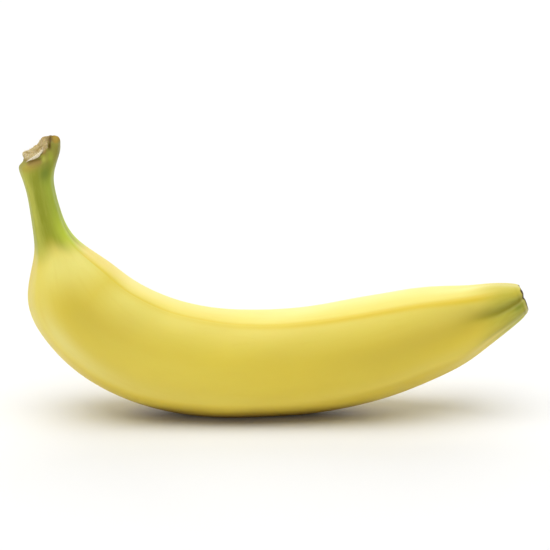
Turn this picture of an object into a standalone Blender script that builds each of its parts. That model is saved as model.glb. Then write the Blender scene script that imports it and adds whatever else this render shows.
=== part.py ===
"""A ripe banana at rest on its outer curve, with the cut stem up at the left.

Blender 4.5, metres, +Z up. The origin is in the flat spot that the fruit rests on,
+X runs towards the blossom tip, and the fruit curves upwards in the XZ plane.
The fruit grew as one piece, so it is one closed solid: stem, peel and tip together.
"""

from collections import namedtuple
from math import cos, radians, sin

import bmesh
import bpy
import numpy as np
from mathutils import Vector

MM = 0.001

# Every slice is a rounded pentagon, whose corners are the five ridges of the peel: two by
# the inner curve, two by the outer curve and one on it. These are the angles of the two on
# the -Y side, in degrees round the slice from the middle of the inner curve, at three
# places along the fruit. The other three are turned a little from an even layout.
RIDGE_PLACES = (-75 * MM, 0, 95 * MM)
INNER_RIDGE_ANGLES = (42, 33, 40)
OUTER_RIDGE_ANGLES = (134, 120, 118)
RIDGE_TURN = 2
POINTS_PER_FACE = 4
SUBDIVISION_LEVELS = 1

# Both ends lean a little towards +Y, and the belly between them towards -Y.
HALF_LENGTH = 90 * MM
END_LEAN = 3 * MM
BELLY_SHARE = 0.25

# The fruit is lowered by this much, and what is then below the surface is cut off. The box
# that cuts it reaches this far each way from the origin.
SETTLING = 0.6 * MM
RESTING_CUT_REACH = 35 * MM

# One slice through the fruit, in millimetres. inner and outer are the (x, z) points where
# it meets the inner and the outer curve, half_width is its reach to each side, flatness is
# 0 for a round slice, 1 for flat faces between the ridges and more for hollow ones, and
# side_slope is how much it rises towards +Y.
Slice = namedtuple("Slice", "inner outer half_width flatness side_slope", defaults=(0,))

STUMP = (
    Slice((-66.8, 104.4), (-77.4, 97.6), 4.3, 0.5, 0.25),
    Slice((-64.8, 102.0), (-79.3, 97.2), 5.1, 0.7, 0.25),
    Slice((-65.0, 99.5), (-78.4, 94.9), 5.1, 0.8, 0.15),
    Slice((-65.0, 97.5), (-79.6, 93.6), 6.4, 0.7, 0.1),
)
NECK = (
    Slice((-66.4, 94.0), (-80.5, 91.8), 6.5, 0.7),
    Slice((-68.4, 88.0), (-78.6, 87.0), 5.6, 0.8),
    Slice((-67.4, 82.0), (-77.3, 81.5), 5.2, 0.8),
    Slice((-66.1, 76.5), (-76.6, 75.5), 5.3, 0.8),
    Slice((-64.1, 69.7), (-75.8, 68.0), 6.3, 0.8),
    Slice((-60.0, 64.2), (-75.4, 61.5), 8.3, 0.7),
)
BODY = (
    Slice((-54.4, 60.3), (-77.2, 54.6), 11.3, 0.6),
    Slice((-48.0, 56.0), (-79.8, 44.0), 14.8, 0.5),
    Slice((-43.0, 51.8), (-77.2, 33.4), 16.9, 0.45),
    Slice((-37.3, 48.0), (-68.2, 21.8), 18.0, 0.4),
    Slice((-31.0, 44.9), (-57.2, 12.5), 18.5, 0.4),
    Slice((-21.7, 41.6), (-41.0, 3.8), 18.7, 0.4),
    Slice((-8.6, 39.2), (-18.2, -0.9), 18.7, 0.4),
    Slice((6.0, 38.8), (6.0, -1.2), 18.6, 0.4),
    Slice((20.0, 39.7), (27.0, 0.5), 18.4, 0.4),
    Slice((34.0, 42.3), (45.2, 4.2), 18.0, 0.4),
    Slice((47.0, 44.5), (59.8, 9.0), 17.2, 0.45),
    Slice((59.5, 46.7), (72.0, 14.1), 15.5, 0.55),
    Slice((71.0, 47.2), (81.8, 19.2), 13.3, 0.8),
    Slice((80.7, 47.5), (89.8, 25.9), 10.8, 1.0),
)
TIP = (
    Slice((88.3, 48.4), (95.8, 30.9), 8.5, 1.2),
    Slice((94.1, 48.7), (100.5, 34.9), 6.8, 1.3),
    Slice((97.8, 48.5), (102.5, 37.1), 5.7, 1.1),
    Slice((99.6, 47.8), (103.2, 39.1), 4.8, 0.8),
    Slice((99.5, 46.6), (102.3, 40.4), 3.6, 0.6),
    Slice((100.4, 44.9), (101.7, 42.4), 1.7, 0.4),
)

PEEL_COLOUR = (0.85, 0.65, 0.10, 1)
NECK_COLOUR = (0.36, 0.42, 0.07, 1)
STUMP_COLOUR = (0.42, 0.30, 0.14, 1)
TIP_COLOUR = (0.05, 0.03, 0.015, 1)


def clear_scene():
    for obj in list(bpy.data.objects):
        bpy.data.objects.remove(obj)


def new_collection(name):
    made = bpy.data.collections.new(name)
    bpy.context.scene.collection.children.link(made)
    return made


def material(name, colour, roughness):
    """A Principled material. Nothing on the fruit is metallic."""
    made = bpy.data.materials.new(name)
    made.use_nodes = True
    shader = made.node_tree.nodes["Principled BSDF"]
    shader.inputs["Base Color"].default_value = colour
    shader.inputs["Roughness"].default_value = roughness
    shader.inputs["Metallic"].default_value = 0
    made.diffuse_color = colour
    return made


def ridge_angles(along):
    """The five ridges' angles, in degrees, at this x."""
    inner = np.interp(along, RIDGE_PLACES, INNER_RIDGE_ANGLES)
    outer = np.interp(along, RIDGE_PLACES, OUTER_RIDGE_ANGLES)
    return inner, outer, 180 - RIDGE_TURN, 360 - outer - RIDGE_TURN, 360 - inner - RIDGE_TURN


def slice_outline(ridges, flatness):
    """A slice's points, each as (towards the inner curve, towards -Y), of radius one."""
    points = []
    for start, end in zip(ridges, ridges[1:] + (ridges[0] + 360,)):
        flat_dip = 1 - cos(radians(end - start) / 2)
        for step in range(POINTS_PER_FACE):
            share = step / POINTS_PER_FACE
            angle = radians(start + (end - start) * share)
            radius = 1 - flatness * flat_dip * (1 - (2 * share - 1) ** 2)
            points.append((radius * cos(angle), radius * sin(angle)))
    return points


def slice_points(cut):
    """A slice's points in space, in metres."""
    inner = Vector((cut.inner[0], 0, cut.inner[1])) * MM
    outer = Vector((cut.outer[0], 0, cut.outer[1])) * MM
    outline = slice_outline(ridge_angles((inner.x + outer.x) / 2), cut.flatness)
    lowest = min(up for up, side in outline)
    highest = max(up for up, side in outline)
    widest = max(side for up, side in outline)
    found = []
    for up, side in outline:
        place = outer.lerp(inner, (up - lowest) / (highest - lowest))
        reach = -cut.half_width * MM * side / widest
        place.z += cut.side_slope * reach - SETTLING
        place.y = reach + END_LEAN * ((place.x / HALF_LENGTH) ** 2 - BELLY_SHARE)
        found.append(place)
    return found


def extrude_ring(cage, ring):
    """Extrudes an open ring, and returns the new ring's vertices in the same order."""
    edges = [cage.edges.get(pair) for pair in zip(ring, ring[1:] + ring[:1])]
    made = bmesh.ops.extrude_edge_only(cage, edges=edges)["geom"]
    fresh = {item for item in made if isinstance(item, bmesh.types.BMVert)}
    return [
        next(edge.other_vert(vert) for edge in vert.link_edges if edge.other_vert(vert) in fresh)
        for vert in ring
    ]


def build_cage(regions):
    """The coarse closed cage: one ring for each slice, extruded from the one before.

    A region is its slices, and its number is its material's slot.
    """
    cage = bmesh.new()
    first_ring = bmesh.ops.create_circle(cage, segments=5 * POINTS_PER_FACE)["verts"]
    ring = None
    for slot, slices in enumerate(regions):
        known = set(cage.faces)
        for cut in slices:
            ring = extrude_ring(cage, ring) if ring else first_ring
            for vert, place in zip(ring, slice_points(cut)):
                vert.co = place
        for face in set(cage.faces) - known:
            face.material_index = slot
    for rim, slot in ((first_ring, 0), (ring, len(regions) - 1)):
        cap = bmesh.ops.contextual_create(cage, geom=rim)["faces"][0]
        cap.material_index = slot
    bmesh.ops.recalc_face_normals(cage, faces=cage.faces)
    return cage


def add_banana(collection, peel):
    mesh = bpy.data.meshes.new("banana")
    cage = build_cage((STUMP, NECK, BODY, TIP))
    cage.to_mesh(mesh)
    cage.free()
    mesh.materials.append(material("cut_stem", STUMP_COLOUR, 0.8))
    mesh.materials.append(material("green_neck", NECK_COLOUR, 0.5))
    mesh.materials.append(peel)
    mesh.materials.append(material("blossom_tip", TIP_COLOUR, 0.8))
    mesh.shade_smooth()
    banana = bpy.data.objects.new("banana", mesh)
    collection.objects.link(banana)
    soft_form = banana.modifiers.new("soft_form", "SUBSURF")
    soft_form.levels = SUBDIVISION_LEVELS
    soft_form.render_levels = SUBDIVISION_LEVELS
    return banana


def cut_resting_spot(banana, collection, peel):
    """Cuts off the lowest millimetre of the outer curve, so that the fruit stands flat."""
    mesh = bpy.data.meshes.new("resting_cut")
    box = bmesh.new()
    middle = Vector((0, 0, -RESTING_CUT_REACH))
    corners = bmesh.ops.create_cube(box, size=2 * RESTING_CUT_REACH)["verts"]
    bmesh.ops.translate(box, verts=corners, vec=middle)
    box.to_mesh(mesh)
    box.free()
    mesh.materials.append(peel)
    cutter = bpy.data.objects.new("resting_cut", mesh)
    cutter.hide_render = True
    cutter.display_type = "WIRE"
    collection.objects.link(cutter)
    cut = banana.modifiers.new("resting_spot", "BOOLEAN")
    cut.operation = "DIFFERENCE"
    cut.solver = "EXACT"
    cut.material_mode = "TRANSFER"
    cut.object = cutter


def main():
    clear_scene()
    peel = material("peel", PEEL_COLOUR, 0.45)
    banana = add_banana(new_collection("banana"), peel)
    cut_resting_spot(banana, new_collection("cutters"), peel)


main()
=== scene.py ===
"""A ripe banana on a white table: the fruit, the torn fibres on its stem, floor, lights and camera."""

from collections import namedtuple
from math import cos, floor, pi, radians, sin

import bmesh
import bpy
import numpy as np
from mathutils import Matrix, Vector


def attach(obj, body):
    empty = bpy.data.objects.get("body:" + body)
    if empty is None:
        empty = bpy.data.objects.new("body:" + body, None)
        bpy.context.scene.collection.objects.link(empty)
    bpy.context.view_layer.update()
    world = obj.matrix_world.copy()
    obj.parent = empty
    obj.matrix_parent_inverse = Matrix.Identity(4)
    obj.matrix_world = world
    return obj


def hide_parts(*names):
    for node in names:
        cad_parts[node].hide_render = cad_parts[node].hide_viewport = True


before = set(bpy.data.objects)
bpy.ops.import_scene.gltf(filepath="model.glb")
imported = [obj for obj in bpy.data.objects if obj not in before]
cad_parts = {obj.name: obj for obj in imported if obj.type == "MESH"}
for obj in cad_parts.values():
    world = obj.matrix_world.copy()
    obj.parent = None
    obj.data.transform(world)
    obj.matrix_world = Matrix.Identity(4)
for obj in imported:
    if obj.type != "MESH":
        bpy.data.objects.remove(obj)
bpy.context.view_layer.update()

# The fruit
# Stem, peel and blossom tip of a ripe banana. They grew as one piece, so they are one skin:
# a waxy yellow peel with five ridges, a green neck, a torn fibrous stump where the fruit was
# pulled off its bunch, and a small dry scar where the blossom fell off.

MM = 0.001
FACES = 5

# The slices follow the solid's, with a few more over the two ends. inner and outer are the
# (x, z) points, in millimetres, where a slice meets the inner and the outer curve, half_width
# is its reach to each side, flatness is 0 for a round slice and 1 for flat faces between the
# ridges, and side_slope is how much it rises towards +Y.
Slice = namedtuple("Slice", "inner outer half_width flatness side_slope", defaults=(0,))

TORN_FACE = (
    Slice((-71.9, 99.4), (-71.9, 99.4), 0.0, 0.5, 0.25),
    Slice((-70.4, 100.5), (-73.6, 98.6), 1.2, 0.5, 0.25),
    Slice((-68.4, 101.8), (-75.7, 97.8), 3.0, 0.5, 0.25),
)
STUMP = (
    Slice((-66.6, 102.9), (-77.4, 97.6), 4.3, 0.5, 0.25),
    Slice((-64.8, 101.7), (-78.7, 97.1), 5.1, 0.7, 0.25),
    Slice((-65.0, 99.5), (-78.0, 94.4), 5.1, 0.8, 0.15),
    Slice((-65.0, 97.5), (-79.6, 93.2), 6.4, 0.7, 0.1),
)
NECK = (
    Slice((-66.4, 94.0), (-80.5, 91.8), 6.5, 0.7),
    Slice((-68.4, 88.0), (-78.6, 87.0), 5.6, 0.8),
    Slice((-67.4, 82.0), (-77.3, 81.5), 5.2, 0.8),
    Slice((-66.1, 76.5), (-76.6, 75.5), 5.3, 0.8),
    Slice((-64.1, 69.7), (-75.8, 68.0), 6.3, 0.8),
    Slice((-60.0, 64.2), (-75.4, 61.5), 8.3, 0.7),
)
BODY = (
    Slice((-54.4, 60.3), (-77.2, 54.6), 11.3, 0.6),
    Slice((-48.0, 56.0), (-79.8, 44.0), 14.8, 0.5),
    Slice((-43.0, 51.8), (-77.2, 33.4), 16.9, 0.45),
    Slice((-37.3, 48.0), (-68.2, 21.8), 18.0, 0.4),
    Slice((-31.0, 44.9), (-57.2, 12.5), 18.5, 0.4),
    Slice((-21.7, 41.6), (-41.0, 3.8), 18.7, 0.4),
    Slice((-8.6, 39.2), (-18.2, -0.9), 18.7, 0.4),
    Slice((6.0, 38.8), (6.0, -1.2), 18.6, 0.4),
    Slice((20.0, 39.7), (27.0, 0.5), 18.4, 0.4),
    Slice((34.0, 42.3), (45.2, 4.2), 18.0, 0.4),
    Slice((47.0, 44.5), (59.8, 9.0), 17.2, 0.45),
    Slice((59.5, 46.7), (72.0, 14.1), 15.5, 0.55),
    Slice((71.0, 47.2), (81.8, 19.2), 13.3, 0.6),
    Slice((80.7, 47.5), (89.8, 25.9), 10.8, 0.6),
)
TIP = (
    Slice((88.3, 48.4), (95.8, 30.9), 8.5, 0.6),
    Slice((94.1, 48.7), (100.5, 34.9), 6.8, 0.6),
    Slice((97.9, 48.5), (102.5, 37.1), 5.7, 0.6),
    Slice((100.0, 47.9), (103.2, 39.1), 4.8, 0.6),
    Slice((99.7, 46.7), (102.3, 40.4), 3.6, 0.6),
    Slice((100.0, 45.1), (101.4, 42.5), 1.7, 0.4),
    Slice((100.5, 43.8), (100.5, 43.8), 0.0, 0.4),
)
SLICES = TORN_FACE + STUMP + NECK + BODY + TIP

# The five ridges' angles run round a slice from the middle of the inner curve. Those of the
# two on the -Y side are given at six places along the fruit, and the other three are turned a
# little from an even layout.
RIDGE_PLACES = (-75 * MM, -62 * MM, -20 * MM, 0, 40 * MM, 95 * MM)
INNER_RIDGE_ANGLES = (42, 27, 26, 30, 34, 48)
OUTER_RIDGE_ANGLES = (134, 132, 124, 120, 119, 118)
RIDGE_TURN = 2

# Both ends lean a little towards +Y, and the belly between them towards -Y. The fruit is
# lowered a little, and what is then below the table is pressed flat.
HALF_LENGTH = 90 * MM
END_LEAN = 3 * MM
BELLY_SHARE = 0.25
SETTLING = 0.6 * MM

# A smooth curve runs a little inside its control points, and less so where there are more of
# them. The solid has half as many round a slice, so these are drawn in by the difference.
CONTROLS_PER_FACE = 8
DRAWN_IN = 0.012

# The skin has this many rings in each gap between two slices, and points on each face.
RINGS_PER_GAP = (5, 5, 6) + (9,) * 8 + (10,) * 2 + (12,) * 15 + (10, 8, 6, 5, 4)
SPOTS_PER_FACE = 60


def ridge_angles(along):
    """The five ridges' angles, in degrees, at this x."""
    inner = np.interp(along, RIDGE_PLACES, INNER_RIDGE_ANGLES)
    outer = np.interp(along, RIDGE_PLACES, OUTER_RIDGE_ANGLES)
    return inner, outer, 180 - RIDGE_TURN, 360 - outer - RIDGE_TURN, 360 - inner - RIDGE_TURN


def slice_outline(ridges, flatness):
    """A slice's control points, each as (towards the inner curve, towards -Y)."""
    points = []
    for start, end in zip(ridges, ridges[1:] + (ridges[0] + 360,)):
        flat_dip = 1 - cos(radians(end - start) / 2)
        for step in range(CONTROLS_PER_FACE):
            share = step / CONTROLS_PER_FACE
            angle = radians(start + (end - start) * share)
            round_dip = 0.5 - 0.5 * cos(2 * pi * share)
            sharp_dip = 1 - (2 * share - 1) ** 2
            radius = 1 - flatness * flat_dip * (round_dip + sharp_dip) / 2
            points.append((radius * cos(angle), radius * sin(angle)))
    return points


def slice_points(cut):
    """A slice's control points in space, in metres."""
    inner = Vector((cut.inner[0], 0, cut.inner[1])) * MM
    outer = Vector((cut.outer[0], 0, cut.outer[1])) * MM
    outline = slice_outline(ridge_angles((inner.x + outer.x) / 2), cut.flatness)
    lowest = min(up for up, side in outline)
    highest = max(up for up, side in outline)
    widest = max(side for up, side in outline)
    found = []
    for up, side in outline:
        share = (up - lowest) / (highest - lowest)
        place = outer.lerp(inner, share + DRAWN_IN * (0.5 - share))
        reach = -cut.half_width * MM * (1 - DRAWN_IN) * side / widest
        place.z += cut.side_slope * reach - SETTLING
        place.y = reach + END_LEAN * ((place.x / HALF_LENGTH) ** 2 - BELLY_SHARE)
        found.append(place)
    return found


def blend_table(places, count, closed):
    """One row for each place along a smooth curve, with the share of each control point."""
    table = np.zeros((len(places), count))
    for row, place in zip(table, places):
        first = floor(place) - 1
        share = place - floor(place)
        shares = (
            (1 - share) ** 3,
            3 * share ** 3 - 6 * share ** 2 + 4,
            -3 * share ** 3 + 3 * share ** 2 + 3 * share + 1,
            share ** 3,
        )
        for control, part in enumerate(shares, first):
            at = control % count if closed else min(max(control, 0), count - 1)
            row[at] += part / 6
    return table


# The smooth form: rings of points, as skin[ring, spot]. The first and the last ring lie on
# the middle of the torn face and of the scar.
ring_places = [-1, -0.6]
for gap, rings in enumerate(RINGS_PER_GAP):
    ring_places += [gap + step / rings for step in range(rings)]
ring_places += [len(SLICES) - 1, len(SLICES) - 0.4, len(SLICES)]
spots = FACES * SPOTS_PER_FACE
spot_places = [spot * CONTROLS_PER_FACE / SPOTS_PER_FACE for spot in range(spots)]
controls = np.array([slice_points(cut) for cut in SLICES])
lengthwise = blend_table(ring_places, len(SLICES), closed=False)
crosswise = blend_table(spot_places, FACES * CONTROLS_PER_FACE, closed=True)
skin = np.einsum("rc,cpx,sp->rsx", lengthwise, controls, crosswise)

# How far each ring is from the middle of the stump's torn face and from the middle of the
# blossom scar, over the skin and in millimetres, and how long it is.
ring_steps = np.linalg.norm(np.diff(skin, axis=0), axis=2).mean(axis=1) / MM
from_stem = np.append(0, ring_steps.cumsum())[:, None]
from_tip = from_stem[-1] - from_stem
round_length = np.linalg.norm(np.roll(skin, -1, axis=1) - skin, axis=2).sum(axis=1)[:, None] / MM

# Each point's angle round the slice, its face, and its share of the way across that face. The
# faces are numbered round the slice from the ridge by the inner curve on the -Y side.
NEAR_SIDE, NEAR_OUTER, FAR_OUTER, FAR_SIDE, INNER = range(FACES)
ridges = np.array([ridge_angles(x) for x in skin.mean(axis=1)[:, 0]])
ridges = np.column_stack((ridges, ridges[:, 0] + 360))
face = np.arange(spots) // SPOTS_PER_FACE
face_share = (np.arange(spots) % SPOTS_PER_FACE) / SPOTS_PER_FACE
turn = ridges[:, face] + (ridges[:, face + 1] - ridges[:, face]) * face_share
angle = np.radians(turn)
side_face = np.isin(face, (NEAR_SIDE, FAR_SIDE))
outer_face = np.isin(face, (NEAR_OUTER, FAR_OUTER))
down_side = np.where(face == FAR_SIDE, 1 - face_share, face_share)
outer_side = 0.5 - 0.5 * np.cos(angle)


def ramp(values, start, end):
    """Rises smoothly from 0 at start to 1 at end."""
    share = np.clip((values - start) / (end - start), 0, 1)
    return share * share * (3 - 2 * share)


def bell(values, middle, width):
    """Is 1 at the middle and fades smoothly to each side."""
    return np.exp(-(((values - middle) / width) ** 2))


def follow(values, line):
    """The heights, at these values, of a broken line given as (place, height) pairs."""
    places, heights = zip(*line)
    return np.interp(values, places, heights)


WAVES_IN_SUM = 9


def waves(seed, lengths, turns):
    """Soft irregular waves between about -1 and 1 that meet round the fruit."""
    draw = np.random.default_rng(seed)
    total = np.zeros_like(angle)
    for _ in range(WAVES_IN_SUM):
        times_round = draw.integers(turns[0], turns[1] + 1)
        length = draw.uniform(*lengths)
        total += np.sin(times_round * angle + 2 * pi * from_stem / length + draw.uniform(0, 2 * pi))
    return total / (1.125 * WAVES_IN_SUM ** 0.5)


def outward(skin):
    """The skin's own outward direction at every point."""
    lengthwise_step = np.gradient(skin, axis=0)
    crosswise_step = np.roll(skin, -1, axis=1) - np.roll(skin, 1, axis=1)
    out = np.cross(crosswise_step, lengthwise_step)
    return out / np.maximum(np.linalg.norm(out, axis=2, keepdims=True), 1e-12)


# How far each point is from the nearest ridge, and how far it is up the side from the nearer
# of the two outer ridges, in millimetres. That is less than 0 below them, and the inner face
# counts as far above.
LOWER_RIDGES = (1, 2, 3)
FAR_ABOVE = 9
lower_ridge = np.isin(face + (face_share > 0.5), LOWER_RIDGES)
from_ridge = np.minimum(face_share, 1 - face_share) * round_length / FACES
far_above = np.full(spots, FAR_ABOVE)
shares_up = np.array([1 - face_share, -face_share, face_share - 1, face_share, far_above])
up_from_outer_ridge = shares_up[face, np.arange(spots)] * round_length / FACES

# How far each point is down the side from the nearer of the two inner ridges, in millimetres,
# and less than 0 between them.
past_near_ridge = (turn - ridges[:, :1] + 180) % 360 - 180
past_far_ridge = (ridges[:, 4:5] - turn + 180) % 360 - 180
past_ridge = np.maximum(past_near_ridge, past_far_ridge) * round_length / 360
on_inner_face = 1 - ramp(past_ridge, -1.5, 1)

# The fruit's stretches fade out or in over these distances, in millimetres, from the middle of
# the torn face or, for the last two, from the middle of the scar. near is 1 on the side
# towards -Y, and across is about the x at which the photo shows a point of the stump.
STUMP_END = (18, 22)
NECK_START = (16, 22)
NECK_END = (46, 66)
GREEN_END = (38, 48)
BODY_START = (54, 76)
BODY_END = (8, 24)
TIP_GREEN_END = (9, 27)

x, y, z = skin[..., 0] / MM, skin[..., 1] / MM, skin[..., 2] / MM
near = 1 - ramp(y, 0.5, 4.5)
across = x + 0.2 * (y + 4.5)
body = ramp(from_stem, *BODY_START) * ramp(from_tip, *BODY_END)
neck = ramp(from_stem, *NECK_START) * (1 - ramp(from_stem, *NECK_END))
stem_end = 1 - ramp(from_stem, *STUMP_END)
top = 1 - ramp(from_stem, 6.5, 10)

# The torn part of the stump reaches down to these heights. On the right, above the inner
# curve, the skin goes on up to the top, past a crease.
NEAR_TEAR = ((-79, 93.9), (-77.6, 94.4), (-74.8, 95.5), (-72.4, 96.5),
             (-70.3, 97.6), (-69.2, 98.0), (-68.6, 98.6), (-67.9, 106))
FAR_TEAR = ((-79, 94.6), (-76, 96.2), (-73, 97.2), (-70, 98.4), (-67.5, 100), (-66.5, 106))
tear = near * follow(across, NEAR_TEAR) + (1 - near) * follow(x, FAR_TEAR)
tear = tear + 0.3 * waves(3, (30, 60), (7, 19))
torn = ramp(z - tear, -0.2, 0.2) * stem_end

# What shows round it: a thin brown line along its lower edge, a brown crease beside it, deepened with
# painted shade, an ochre cut on the right, and below it a dry lens-shaped scar with a painted shadow of
# the torn strip along its upper edge, and a warm halo. The torn strip's painted shadow also falls on
# what is beside it, and in the weathered skin there are a paler and a greener spot.
tear_line = bell(z - tear, -0.2, 0.45) * stem_end * (1 - ramp(x, -70, -68.6))
crease_width = 0.6 + 0.5 * ramp(z, 99.5, 101.5)
crease_middle = -67.9 + 0.3 * ramp(z, 100, 102)
crease = bell(across, crease_middle, crease_width) * ramp(z, 97.2, 98.6)
crease = crease * (1 - ramp(y, 2.5, 6)) * stem_end
ochre = ramp(z, 100.2, 101.2) * ramp(across, -67.8, -66.9) * stem_end
lens_x, lens_z = x + 73.5, z - 94.0 - 0.18 * (x + 73.5)
lens = 1 - ramp((lens_x / 3.1) ** 2 + (lens_z / np.where(lens_z < 0, 1.9, 1.5)) ** 2, 0.4, 1.15)
lens = lens * near * stem_end * (1 - torn) * (1 - 0.65 * ramp(-lens_z, -0.5, 1.3))
lens_shade = bell(lens_z, 1.1, 0.4) * (1 - ramp(abs(lens_x), 2.2, 3.4)) * near * stem_end
halo = bell(x, -75.2, 3.2) * bell(z, 92.3 + 0.22 * (x + 75.2), 1.7) * near * stem_end
strip_shade = bell(z - tear, 1.7, 0.5) * bell(across, -71.6, 1.3) * near * stem_end
strip_shade = strip_shade + bell(across, -69.6, 0.6) * bell(z, 97.6, 0.8) * near * stem_end
pale_spot = bell(across, -70.3, 1.1) * bell(z, 95.5, 1.5) * near * stem_end
green_spot = bell(across, -67.6, 1.0) * bell(z, 95.4, 2.4) * near * stem_end
weathered = (1 - ramp(from_stem, 11, 15.5)) * (0.6 + 0.4 * near)
weathered = weathered * (1 - 0.8 * green_spot) * (1 - 0.7 * pale_spot)

# The green of the neck, and how far it turns to yellow there, which is most on the outer side. It is a
# brighter green along the inner ridges, with a lime stretch lower down, which is partly painted light
# on that side of the neck, and darker in a patch under the stump. The tip's green is weaker on the
# inner face and at the top of the sides, and darker in a patch near the scar.
soft = waves(7, (40, 110), (1, 5))
green_reach = 1.8 * ramp(turn, 78, 124) * (1 - ramp(turn, 236, 282)) + 3.4 * on_inner_face - 0.4
green = 1 - ramp(from_stem + 1.2 * soft - green_reach, *GREEN_END)
neck_tone = 0.7 * ramp(turn, 96, 130) * (1 - ramp(turn, 185, 215)) + 0.6 * bell(turn, 262, 30)
neck_tone = neck_tone + 0.10 * waves(19, (60, 140), (4, 12))
neck_tone = np.clip(neck_tone + 0.6 * ramp(from_stem, 40, 50) + 0.7 * pale_spot, 0, 1)
leaf_green = bell(past_ridge, -1.5, 3.5) * ramp(from_stem, 13, 20) + 0.4 * green_spot
lime = bell(past_ridge, -0.8, 3.5) * ramp(from_stem, 27, 40)
dark_green = bell(turn, 60, 20) * bell(from_stem, 15.8, 3.2)
dark_green = dark_green + 0.8 * side_face * bell(down_side, 0.72, 0.14) * bell(from_tip, 8.5, 2.5)
tip_green = 1 - ramp(from_tip + 2.0 * waves(9, (20, 60), (2, 8)), *TIP_GREEN_END)
tip_green = tip_green * (0.55 + 0.45 * np.where(side_face, ramp(down_side, 0.1, 0.5), face != INNER))

# The fold in each side face that runs into the scar. The line gives its share of the way down
# the side at distances from the scar's middle. It has a soft upper side and a steeper lower
# one, and the other three faces have only a trace of it.
FOLD_LINE = ((5, 0.40), (8, 0.55), (12, 0.61), (17, 0.60), (26, 0.47), (40, 0.43))
FOLD_ON_FACES = (1.0, 0.2, 0.2, 1.0, 0.1)
fold_middle = 0.5 + (follow(from_tip, FOLD_LINE) - 0.5) * side_face
fold_width = np.where(side_face & (down_side < fold_middle), 0.19, 0.09)
fold_width = fold_width + 0.12 * ramp(from_tip, 8, 50)
fold = bell(down_side, fold_middle, fold_width) * (1 - ramp(from_tip, 10, 48))
fold = fold * ramp(from_tip, 3.5, 6.5) * np.array(FOLD_ON_FACES)[face]

# The scar, and the thin lip and groove round its outer side.
scar_edge = from_tip + 0.9 * outer_side + 0.6 * on_inner_face
scar_edge = scar_edge + 0.2 * waves(21, (9, 30), (3, 12))
scar = 1 - ramp(scar_edge, 5.6, 6.0)
lip = bell(from_tip, 6.0, 0.4) * outer_side
lip_groove = bell(from_tip, 7.1, 0.5) * outer_side

# Each side face is a little hollow and, below its middle, darker with painted shade, more so where the
# fruit bends up to the neck and where it tapers to the tip, and the inner face swells a little before
# the tip. The faces turned down are darker with painted shade, and browner still with painted shade
# where the fruit lies on the table.
hollow_depth = 0.3 + 0.75 * bell(from_stem, 86, 24) + 0.6 * bell(from_tip, 42, 24)
hollow_middle = 0.55 + 0.07 * ramp(from_stem, 150, 190)
hollow = bell(down_side, hollow_middle, 0.24) * side_face * hollow_depth * body
shade = 0.2 + 0.45 * bell(from_stem, 73, 15) + 0.5 * ramp(from_stem, 145, 190)
shade = shade * bell(down_side, hollow_middle, 0.24) * side_face * ramp(from_tip, 6, 22)
tip_swelling = np.sin(pi * face_share) ** 2 * (face == INNER)
tip_swelling = tip_swelling * (1 - ramp(from_tip, 20, 60)) * ramp(from_tip, 5, 18)
contact_shade = 1 - ramp(z + 0.8 * waves(25, (20, 60), (1, 6)), 1.0, 9.0)
underside_shade = ramp(-outward(skin)[..., 2], 0.25, 0.9) * body

# Along the ridges: a deeper yellow line of their own on the two inner ones, a wider pale band of
# painted light on the two outer ones, which is strongest at the bend, and painted shade in olive under
# them at the tip.
ridge_line = bell(past_ridge, 0.5, 1.2) * body
band_strength = 0.1 + 0.9 * bell(from_stem, 68, 28) + 0.1 * bell(from_tip, 50, 22)
band_middle = 1.5 * (1 - ramp(from_stem, 120, 160))
ridge_band = bell(up_from_outer_ridge, band_middle, 2.4) * band_strength
ridge_band = ridge_band * body * ramp(from_tip, 10, 40)
tip_edge_shade = bell(up_from_outer_ridge, -1.3, 1.7) * (1 - ramp(from_tip, 14, 38))

# Painted light, where the yellow is made paler as if the lamps lit it more: between the inner ridges,
# under them on the sides, at the shoulder below the neck, in a collar where the green ends, and in a
# patch on the outer side there.
shoulder = bell(from_stem, 70, 28)
painted_light = (0.3 + 0.3 * ramp(from_stem, 80, 170)) * (1 - ramp(past_ridge, -2.0, 0.5))
painted_light = painted_light + (0.42 + 0.2 * shoulder) * (1 - ramp(down_side, 0.05, 0.53)) * side_face
painted_light = painted_light + 0.13 * bell(from_stem, 100, 32) * side_face * ramp(down_side, 0.35, 0.6)
painted_light = painted_light + 0.35 * bell(from_stem, 64, 14) * outer_face
collar_reach = 13 - 4 * ramp(turn, 55, 90)
collar = 0.85 * bell(from_stem, 50, collar_reach) * (1 - ramp(turn, 100, 150))
painted_light = np.maximum(painted_light * body, collar)
painted_light = painted_light + 0.24 * bell(from_stem, 57, 10) * bell(turn, 140, 20)

# The relief, in millimetres in the outward direction.
CREST_HEIGHT = 0.18
NECK_CREST_HEIGHT = 0.1
BODY_WAVE = 0.14
NECK_WAVE = 0.03
TORN_FURROWS = 0.14
TORN_DEPTH = 0.25
TORN_LUMPS = 0.35
CREASE_DEPTH = 0.8
LENS_DEPTH = 0.3
FOLD_DEPTH = 0.8
SWELLING_HEIGHT = 0.55
BAND_HEIGHT = 0.12
LIP_HEIGHT = 0.1
GROOVE_DEPTH = 0.08
SCAR_LUMPS = 0.15
crest = bell(past_ridge, 0, 1.0) + 0.35 * bell(from_ridge, 0, 1.3) * lower_ridge
relief = (CREST_HEIGHT * body * ramp(from_tip, 25, 70) + NECK_CREST_HEIGHT * neck) * crest
relief = relief + BODY_WAVE * body * waves(11, (25, 80), (0, 5))
relief += NECK_WAVE * neck * waves(13, (40, 140), (7, 16))
relief += torn * (1 - 0.6 * top) * (TORN_FURROWS * waves(15, (8, 40), (16, 44)) - TORN_DEPTH)
relief += TORN_LUMPS * torn * waves(17, (3, 9), (2, 9))
relief -= (CREASE_DEPTH - 0.5 * ramp(z, 101, 102.5)) * crease + LENS_DEPTH * lens
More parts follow.
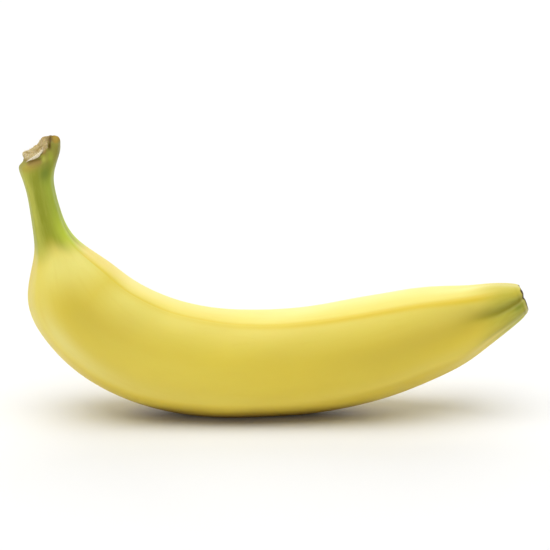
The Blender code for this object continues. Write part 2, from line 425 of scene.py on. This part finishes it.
relief -= FOLD_DEPTH * fold + hollow
relief += SWELLING_HEIGHT * tip_swelling + BAND_HEIGHT * ridge_band
relief += LIP_HEIGHT * lip - GROOVE_DEPTH * lip_groove
relief += SCAR_LUMPS * scar * waves(23, (1.5, 4), (2, 9))
skin += outward(skin) * (relief * MM)[..., None]

# The torn top rises and falls by this much, in millimetres, over the places across it.
TORN_TOP = ((-79, 0), (-77, 0.1), (-75.5, -0.5), (-74.3, -0.8), (-72.6, -0.3), (-71.8, -0.7),
            (-71, -0.25), (-69.5, 0.4), (-68.2, 1.1), (-67.2, 1.5), (-66.5, 0.5), (-65.8, 0))
skin[..., 2] += follow(across, TORN_TOP) * top * MM
skin[..., 2] = np.maximum(skin[..., 2], 0)

TOUCHING = 0.01 * MM


def extrude_ring(cage, ring):
    """Extrudes an open ring, and returns the new ring's vertices in the same order."""
    edges = [cage.edges.get(pair) for pair in zip(ring, ring[1:] + ring[:1])]
    made = bmesh.ops.extrude_edge_only(cage, edges=edges)["geom"]
    fresh = {item for item in made if isinstance(item, bmesh.types.BMVert)}
    return [
        next(edge.other_vert(vert) for edge in vert.link_edges if edge.other_vert(vert) in fresh)
        for vert in ring
    ]


def add_skin(cage, rings, values):
    """Adds a closed skin through rings of points.

    An end ring of no size is drawn together to a point, and any other gets a face. values are
    named numbers for every point, which become the mesh's attributes.
    """
    layers = {title: cage.verts.layers.float.new(title) for title in values}
    ring = None
    for number, places in enumerate(rings):
        if ring:
            ring = extrude_ring(cage, ring)
        else:
            ring = first_ring = bmesh.ops.create_circle(cage, segments=len(places))["verts"]
        for spot, vert in enumerate(ring):
            vert.co = places[spot]
            for title, layer in layers.items():
                vert[layer] = values[title][number, spot]
    for rim in (first_ring, ring):
        if (rim[0].co - rim[len(rim) // 2].co).length < TOUCHING:
            bmesh.ops.remove_doubles(cage, verts=rim, dist=TOUCHING)
        else:
            bmesh.ops.contextual_create(cage, geom=rim)


def finished_mesh(name, cage):
    """Turns a cage into a smooth mesh whose faces point outwards."""
    bmesh.ops.recalc_face_normals(cage, faces=cage.faces)
    mesh = bpy.data.meshes.new(name)
    cage.to_mesh(mesh)
    cage.free()
    mesh.shade_smooth()
    return mesh


def show(name, mesh, finish):
    """Puts a finished mesh in the scene as a piece that rides on the one body."""
    mesh.materials.append(finish)
    piece = bpy.data.objects.new(name, mesh)
    bpy.context.scene.collection.objects.link(piece)
    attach(piece, "root")
    return piece


class Finish:
    """A node material under construction."""

    def __init__(self, name):
        self.material = bpy.data.materials.new(name)
        self.material.use_nodes = True
        self.tree = self.material.node_tree
        self.shader = self.tree.nodes["Principled BSDF"]

    def node(self, kind, **settings):
        made = self.tree.nodes.new(kind)
        for name, value in settings.items():
            setattr(made, name, value)
        return made

    def put(self, value, socket):
        """Sets a socket to a number or colour, or links another node's output to it."""
        if isinstance(value, bpy.types.NodeSocket):
            self.tree.links.new(value, socket)
        else:
            socket.default_value = value

    def field(self, name):
        """One of the numbers that the mesh carries at every point."""
        return self.node("ShaderNodeAttribute", attribute_name=name).outputs["Fac"]

    def place(self, scale):
        """The position on the fruit as it would be if it were straight, stretched by scale."""
        parts = self.node("ShaderNodeCombineXYZ")
        for name, socket in zip(("round_x", "round_y", "length"), parts.inputs):
            self.put(self.field(name), socket)
        mapping = self.node("ShaderNodeMapping")
        self.put(parts.outputs[0], mapping.inputs["Vector"])
        mapping.inputs["Scale"].default_value = scale
        return mapping.outputs[0]

    def noise(self, vector, scale, detail=3, roughness=0.5):
        made = self.node("ShaderNodeTexNoise")
        self.put(vector, made.inputs["Vector"])
        made.inputs["Scale"].default_value = scale
        made.inputs["Detail"].default_value = detail
        made.inputs["Roughness"].default_value = roughness
        return made.outputs["Fac"]

    def cells(self, scale):
        """0 in the middle of each of many small cells, rising to about 1 where they meet."""
        made = self.node("ShaderNodeTexVoronoi")
        self.put(self.place((1, 1, 1)), made.inputs["Vector"])
        made.inputs["Scale"].default_value = scale
        return made.outputs["Distance"]

    def span(self, value, low, high, to_low=0, to_high=1):
        """Maps low..high to to_low..to_high, smoothly and without going beyond them."""
        made = self.node("ShaderNodeMapRange", interpolation_type="SMOOTHSTEP")
        for given, name in ((value, "Value"), (low, "From Min"), (high, "From Max"),
                            (to_low, "To Min"), (to_high, "To Max")):
            self.put(given, made.inputs[name])
        return made.outputs[0]

    def math(self, operation, first, second):
        made = self.node("ShaderNodeMath", operation=operation)
        self.put(first, made.inputs[0])
        self.put(second, made.inputs[1])
        return made.outputs[0]

    def mix(self, share, first, second):
        """The first colour, with this share of the second."""
        made = self.node("ShaderNodeMix", data_type="RGBA")
        self.put(share, made.inputs[0])
        self.put(first, made.inputs[6])
        self.put(second, made.inputs[7])
        return made.outputs[2]

    def bump(self, height, distance, strength=1):
        made = self.node("ShaderNodeBump")
        self.put(height, made.inputs["Height"])
        made.inputs["Distance"].default_value = distance
        made.inputs["Strength"].default_value = strength
        self.put(made.outputs[0], self.shader.inputs["Normal"])


YELLOW = (0.84, 0.67, 0.075, 1)
PAINTED_LIGHT_LEMON = (0.90, 0.82, 0.22, 1)
SHADE_MUSTARD = (0.67, 0.515, 0.055, 1)
DEEP_YELLOW = (0.76, 0.57, 0.055, 1)
RIDGE_YELLOW = (0.82, 0.61, 0.035, 1)
RIDGE_LIGHT_YELLOW = (0.90, 0.79, 0.25, 1)
GREEN_NECK = (0.32, 0.345, 0.018, 1)
YELLOW_GREEN = (0.55, 0.55, 0.085, 1)
DARK_GREEN = (0.17, 0.24, 0.016, 1)
OLIVE = (0.48, 0.45, 0.05, 1)
FOLD_SHADE_OLIVE = (0.31, 0.275, 0.010, 1)
LEAF_GREEN = (0.46, 0.58, 0.06, 1)
LIME = (0.72, 0.84, 0.07, 1)
WEATHERED = (0.30, 0.27, 0.048, 1)
HALO = (0.52, 0.40, 0.06, 1)
TAN = (0.50, 0.38, 0.165, 1)
PALE_FIBRE = (0.68, 0.55, 0.305, 1)
BROKEN_END = (0.40, 0.33, 0.11, 1)
BROWN = (0.36, 0.235, 0.06, 1)
OCHRE = (0.38, 0.25, 0.022, 1)
CREASE_SHADE_BROWN = (0.12, 0.062, 0.005, 1)
UNDERSIDE_SHADE = (0.62, 0.46, 0.035, 1)
CONTACT_SHADE_BROWN = (0.29, 0.165, 0.008, 1)
SCAR = (0.085, 0.058, 0.027, 1)

# The yellow peel.
peel = Finish("peel")
patches = peel.noise(peel.place((1, 1, 0.4)), 55, 3)
streaks = peel.noise(peel.place((1, 1, 0.15)), 600, 4, 0.6)
fibres = peel.noise(peel.place((1, 1, 0.12)), 1500, 4, 0.7)
colour = peel.mix(peel.span(patches, 0.35, 0.70, 0, 0.4), YELLOW, DEEP_YELLOW)
# Painted shade in the hollow of each side face, below its middle.
colour = peel.mix(peel.field("shade"), colour, SHADE_MUSTARD)
# Painted light: a paler yellow where the lamps would light the peel more.
colour = peel.mix(peel.field("painted_light"), colour, PAINTED_LIGHT_LEMON)
# Painted shade on the faces turned down, away from the lamps.
colour = peel.mix(peel.field("underside_shade"), colour, UNDERSIDE_SHADE)
colour = peel.mix(peel.field("ridge_line"), colour, RIDGE_YELLOW)
# Painted light in a band along the two outer ridges.
colour = peel.mix(peel.field("ridge_band"), colour, RIDGE_LIGHT_YELLOW)
colour = peel.mix(peel.span(streaks, 0.5, 0.75, 0, 0.12), colour, DEEP_YELLOW)

# The green of the neck and of the tip.
mottle = peel.noise(peel.place((1, 1, 0.5)), 420, 3, 0.55)
tone = peel.math("ADD", peel.field("neck_tone"), peel.span(streaks, 0.3, 0.7, -0.07, 0.07))
tone = peel.math("ADD", tone, peel.span(mottle, 0.35, 0.65, -0.10, 0.10))
neck_colour = peel.mix(tone, GREEN_NECK, YELLOW_GREEN)
neck_colour = peel.mix(peel.field("leaf_green"), neck_colour, LEAF_GREEN)
neck_colour = peel.mix(peel.field("lime"), neck_colour, LIME)
neck_colour = peel.mix(peel.field("weathered"), neck_colour, WEATHERED)
neck_colour = peel.mix(peel.field("dark_green"), neck_colour, DARK_GREEN)
colour = peel.mix(peel.field("green"), colour, neck_colour)
tip_colour = peel.mix(peel.span(mottle, 0.35, 0.65, 0, 0.5), OLIVE, YELLOW_GREEN)
tip_colour = peel.mix(peel.field("dark_green"), tip_colour, DARK_GREEN)
colour = peel.mix(peel.field("tip_green"), colour, tip_colour)
# Painted shade in the folds and grooves of the tip.
colour = peel.mix(peel.field("fold"), colour, FOLD_SHADE_OLIVE)

# The torn face, with the cut ends of its fibre bundles and some stains, and what is brown
# round it and at the scar.
bundles = peel.cells(1000)
torn_colour = peel.mix(peel.span(fibres, 0.38, 0.62), TAN, PALE_FIBRE)
torn_colour = peel.mix(peel.span(bundles, 0.3, 0.7, 0, 0.45), torn_colour, BROKEN_END)
stains = peel.noise(peel.place((1, 1, 1)), 330, 2)
torn_colour = peel.mix(peel.span(stains, 0.5, 0.62, 0, 0.5), torn_colour, BROWN)
torn_colour = peel.mix(peel.span(stains, 0.48, 0.36, 0, 0.5), torn_colour, PALE_FIBRE)
colour = peel.mix(peel.field("halo"), colour, HALO)
colour = peel.mix(peel.field("torn"), colour, torn_colour)
colour = peel.mix(peel.field("ochre"), colour, OCHRE)
# Dry brown, and the torn strip's painted shadow beside it.
colour = peel.mix(peel.field("dry_and_painted_shadow"), colour, BROWN)
# The crease's brown, deepened with painted shade, and the torn strip's painted shadow along the top of
# the scar below it.
colour = peel.mix(peel.field("crease"), colour, CREASE_SHADE_BROWN)
# Painted shade, brown, low down where the fruit lies on the table.
colour = peel.mix(peel.field("contact_shade"), colour, CONTACT_SHADE_BROWN)
colour = peel.mix(peel.field("lip"), colour, PALE_FIBRE)
colour = peel.mix(peel.field("scar"), colour, SCAR)
peel.put(colour, peel.shader.inputs["Base Color"])

# The yellow has a satin wax, the green less of it, and the dry places none.
GREEN_ROUGHNESS = 0.55
DRY_ROUGHNESS = 0.85
waxy = peel.span(patches, 0.3, 0.7, 0.38, 0.46)
dry_places = peel.math("MAXIMUM", peel.field("torn"), peel.field("scar"))
for title in ("dry_and_painted_shadow", "crease", "ochre", "halo"):
    dry_places = peel.math("MAXIMUM", dry_places, peel.field(title))
dull = peel.span(peel.field("green"), 0, 1, waxy, GREEN_ROUGHNESS)
peel.put(peel.span(dry_places, 0, 1, dull, DRY_ROUGHNESS), peel.shader.inputs["Roughness"])
peel.shader.inputs["Specular IOR Level"].default_value = 0.3
peel.shader.inputs["Subsurface Weight"].default_value = 0.12
peel.shader.inputs["Subsurface Radius"].default_value = (1.0, 0.6, 0.12)
peel.shader.inputs["Subsurface Scale"].default_value = 2.5 * MM
pores = peel.noise(peel.place((1, 1, 1)), 2600, 3, 0.6)
peel.bump(pores, 0.05 * MM, 0.5)

# The numbers that the mesh carries. The first three are the place on the straight fruit, and
# the others are how strongly each colour shows.
MEAN_RADIUS = 18 * MM
# Painted shade, in dark olive, in the folds, in the groove round the scar and under the outer ridges at
# the tip.
fold_shade_share = 0.93 * fold * (1 - ramp(from_tip, 14, 42)) + 0.5 * lip_groove + 0.55 * tip_edge_shade
# Dry places, and the painted shadow that the torn strip would cast.
dry_and_shadow_share = 0.85 * lens + 0.6 * tear_line + 0.6 * strip_shade
dry_and_shadow_share = dry_and_shadow_share + 0.25 * torn * ramp(z, 99.5, 101.5)
values = {
    "round_x": MEAN_RADIUS * np.cos(angle),
    "round_y": MEAN_RADIUS * np.sin(angle),
    "length": from_stem * MM * np.ones_like(x),
    "shade": shade,
    "underside_shade": 0.6 * underside_shade,
    "painted_light": painted_light,
    "ridge_line": ridge_line * (0.3 + 0.65 * ramp(from_stem, 100, 200)),
    "ridge_band": 0.9 * ridge_band,
    "green": green,
    "neck_tone": neck_tone,
    "weathered": 0.75 * weathered,
    "leaf_green": np.clip(0.85 * leaf_green, 0, 1),
    "lime": 0.6 * lime,
    "dark_green": 0.8 * dark_green,
    "tip_green": tip_green,
    "fold": np.clip(fold_shade_share, 0, 1),
    "torn": torn,
    "ochre": ochre,
    "halo": 0.75 * halo,
    "dry_and_painted_shadow": np.clip(dry_and_shadow_share, 0, 1),
    "crease": np.clip(0.95 * crease + 0.45 * lens_shade, 0, 1),
    "contact_shade": 0.85 * contact_shade,
    "lip": 0.45 * lip,
    "scar": scar,
}
peel_cage = bmesh.new()
add_skin(peel_cage, skin, values)
banana = show("banana_peel", finished_mesh("banana_peel", peel_cage), peel.material)
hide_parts("banana")

# The torn strip
# Where the fruit was pulled off its bunch, a thin strip of the stem peeled back. It is pale
# dry fibre, still grown to the stump along its lower edge.

# The strip's middle line, as (x, z) on the near side of the skin, and its width at shares of
# its length, in millimetres.
STRIP_PATH = ((-76.4, 94.1), (-74.8, 95.3), (-73.1, 96.1),
              (-71.6, 96.9), (-70.8, 97.9), (-70.3, 99.0))
STRIP_WIDTHS = ((0, 0.2), (0.25, 0.8), (0.55, 1.4), (0.8, 1.0), (1, 0.1))
STRIP_THICKNESS = 0.5
STRIP_RINGS = 24
SMOOTHING_ROUNDS = 3
DRY_STRAW = (0.72, 0.60, 0.38, 1)
BLEACHED = (0.94, 0.87, 0.66, 1)


def nearest_on_near_side(at_x, at_z):
    """The ring and the spot of the skin on the -Y side nearest to this x and z, in millimetres."""
    gap = (skin[..., 0] / MM - at_x) ** 2 + (skin[..., 2] / MM - at_z) ** 2
    gap = gap + np.where(skin[..., 1] < -1.5 * MM, 0, 1000)
    return np.unravel_index(np.argmin(gap), gap.shape)


def strand(places, widths, thicknesses, outs, sides=12):
    """Rings of points for a flat tapering strand through some places."""
    turns = [2 * pi * side / sides for side in range(sides)]
    rings = []
    for number, place in enumerate(places):
        before, after = places[max(number - 1, 0)], places[min(number + 1, len(places) - 1)]
        forward = (after - before).normalized()
        out = (outs[number] - forward * forward.dot(outs[number])).normalized()
        aside = forward.cross(out)
        wide, thick = widths[number] / 2, thicknesses[number] / 2
        rings.append([place + aside * (cos(turn) * wide) + out * (sin(turn) * thick) for turn in turns])
    return np.array(rings)


out_field = outward(skin)
path_x, path_z = zip(*STRIP_PATH)
path_shares = np.linspace(0, 1, len(STRIP_PATH))
strip_places, strip_outs, strip_widths, strip_heights = [], [], [], []
for share in np.linspace(0, 1, STRIP_RINGS):
    at_x, at_z = np.interp(share, path_shares, path_x), np.interp(share, path_shares, path_z)
    found = nearest_on_near_side(at_x, at_z)
    out = Vector(out_field[found])
    strip_places.append(Vector(skin[found]) + out * (0.28 + 0.25 * share ** 3) * MM)
    strip_outs.append(out)
    strip_widths.append(follow(share, STRIP_WIDTHS) * MM)
    end_taper = max(sin(pi * share), 0) ** 0.6 + 0.02
    strip_heights.append(STRIP_THICKNESS * end_taper * MM)
for _ in range(SMOOTHING_ROUNDS):
    strip_places = [strip_places[0]] + [
        (a + b + c) / 3 for a, b, c in zip(strip_places, strip_places[1:], strip_places[2:])
    ] + [strip_places[-1]]

dry_fibre = Finish("dry_fibre")
grain = dry_fibre.node("ShaderNodeTexCoord").outputs["Object"]
grain = dry_fibre.noise(grain, 1800, 4, 0.6)
fibre_colour = dry_fibre.mix(dry_fibre.span(grain, 0.35, 0.65), DRY_STRAW, BLEACHED)
dry_fibre.put(fibre_colour, dry_fibre.shader.inputs["Base Color"])
dry_fibre.shader.inputs["Roughness"].default_value = 0.8
dry_fibre.bump(grain, 0.05 * MM)
strip_cage = bmesh.new()
add_skin(strip_cage, strand(strip_places, strip_widths, strip_heights, strip_outs), {})
show("torn_strip", finished_mesh("torn_strip", strip_cage), dry_fibre.material)

# The torn fibres
# Short ends of the stem's own fibres stand up round the torn face, where they snapped. They
# are as fine as hair and grow out of the stump, with the dry strip's finish.

FIBRE_COUNT = 90
FIBRE_STEPS = 5
FIBRE_TAPER = (1, 0.95, 0.85, 0.7, 0.5, 0.15)
ROOT_DEPTH = 0.15
draw = np.random.default_rng(41)
fibrous = (torn > 0.6) & (from_stem < 13) & (from_stem > 3.5) & (across < -70)
fibrous_rings, fibrous_spots = np.nonzero(fibrous)
fibre_cage = bmesh.new()
for pick in draw.choice(len(fibrous_rings), FIBRE_COUNT, replace=False):
    root = fibrous_rings[pick], fibrous_spots[pick]
    out = Vector(out_field[root])
    lean = Vector(draw.normal(0, 0.45, 3)) + Vector((0.25, 0, 0.75))
    length = draw.uniform(0.4, 1.1) * MM
    thickness = draw.uniform(0.10, 0.22) * MM
    start = Vector(skin[root]) - out * ROOT_DEPTH * MM
    step = (out * 0.4 + lean.normalized()).normalized() * length / FIBRE_STEPS
    curl = Vector(draw.normal(0, 0.05, 3)) * length
    path = [start + step * n + curl * n * n / 10 for n in range(FIBRE_STEPS + 1)]
    tapers = [thickness * share for share in FIBRE_TAPER]
    add_skin(fibre_cage, strand(path, tapers, tapers, [out] * len(path), sides=6), {})
show("torn_fibres", finished_mesh("torn_fibres", fibre_cage), dry_fibre.material)

# The table
# A plain near-white floor that fills the view, flat and dull like a sheet of studio paper. It
# isn't part of the object.

FLOOR_REACH = 40
floor_cage = bmesh.new()
bmesh.ops.create_grid(floor_cage, x_segments=8, y_segments=8, size=FLOOR_REACH)
floor_mesh = bpy.data.meshes.new("table_top")
floor_cage.to_mesh(floor_mesh)
floor_cage.free()
white = Finish("white_table")
white.shader.inputs["Base Color"].default_value = (0.88, 0.88, 0.88, 1)
white.shader.inputs["Roughness"].default_value = 0.9
floor_mesh.materials.append(white.material)
table_top = bpy.data.objects.new("table_top", floor_mesh)
bpy.context.scene.collection.objects.link(table_top)

# Lights
# A wide soft light from above, a little in front and to the left, a weaker one low from
# behind, a small one low on the left in front, and a dim white room that is brighter along
# the horizon, where it meets the table.

ROOM_LIGHT = 0.25
HORIZON_LIGHT = 0.95
HORIZON_BAND = (0.01, 0.10)
room = bpy.data.worlds.new("room")
bpy.context.scene.world = room
room.use_nodes = True
nodes, links = room.node_tree.nodes, room.node_tree.links
direction = nodes.new("ShaderNodeTexCoord")
height = nodes.new("ShaderNodeSeparateXYZ")
fade = nodes.new("ShaderNodeMapRange")
fade.interpolation_type = "SMOOTHSTEP"
fade.inputs["From Min"].default_value = HORIZON_BAND[0]
fade.inputs["From Max"].default_value = HORIZON_BAND[1]
fade.inputs["To Min"].default_value = HORIZON_LIGHT
fade.inputs["To Max"].default_value = ROOM_LIGHT
links.new(direction.outputs["Generated"], height.inputs[0])
links.new(height.outputs["Z"], fade.inputs["Value"])
links.new(fade.outputs[0], nodes["Background"].inputs["Strength"])
nodes["Background"].inputs["Color"].default_value = (1, 1, 1, 1)


def soft_sun(name, strength, width, tilt):
    """A wide soft light from far away, tilted from straight above by two angles in degrees."""
    light = bpy.data.lights.new(name, "SUN")
    light.energy = strength
    light.angle = radians(width)
    lamp = bpy.data.objects.new(name, light)
    lamp.rotation_euler = (radians(tilt[0]), radians(tilt[1]), 0)
    bpy.context.scene.collection.objects.link(lamp)


soft_sun("overhead", 2.35, 65, (8, -4))
soft_sun("behind", 1.2, 60, (-62, 0))

left_side = bpy.data.lights.new("left_side", "AREA")
left_side.shape = "RECTANGLE"
left_side.size = 0.5
left_side.size_y = 0.3
left_side.energy = 0.25
left_lamp = bpy.data.objects.new("left_side", left_side)
left_lamp.location = (-0.55, -0.25, 0.15)
left_lamp.rotation_euler = Vector((-0.5, -0.25, 0.12)).to_track_quat("Z", "Y").to_euler()
bpy.context.scene.collection.objects.link(left_lamp)
bpy.context.scene.view_settings.view_transform = "Standard"

# The camera
# It looks along +Y and 15 degrees down, from a little over half a metre away, with a long
# lens that is aimed at the middle of the view.

CAMERA_DISTANCE = 0.55
LOOK_DOWN = radians(15)
VIEW_MIDDLE = Vector((10.8, 0, 52.3)) * MM
camera_lens = bpy.data.cameras.new("camera")
camera_lens.lens = 100
camera_lens.sensor_width = 36
camera = bpy.data.objects.new("camera", camera_lens)
camera.location = VIEW_MIDDLE + CAMERA_DISTANCE * Vector((0, -cos(LOOK_DOWN), sin(LOOK_DOWN)))
camera.rotation_euler = (radians(90) - LOOK_DOWN, 0, 0)
bpy.context.scene.collection.objects.link(camera)
bpy.context.scene.camera = camera
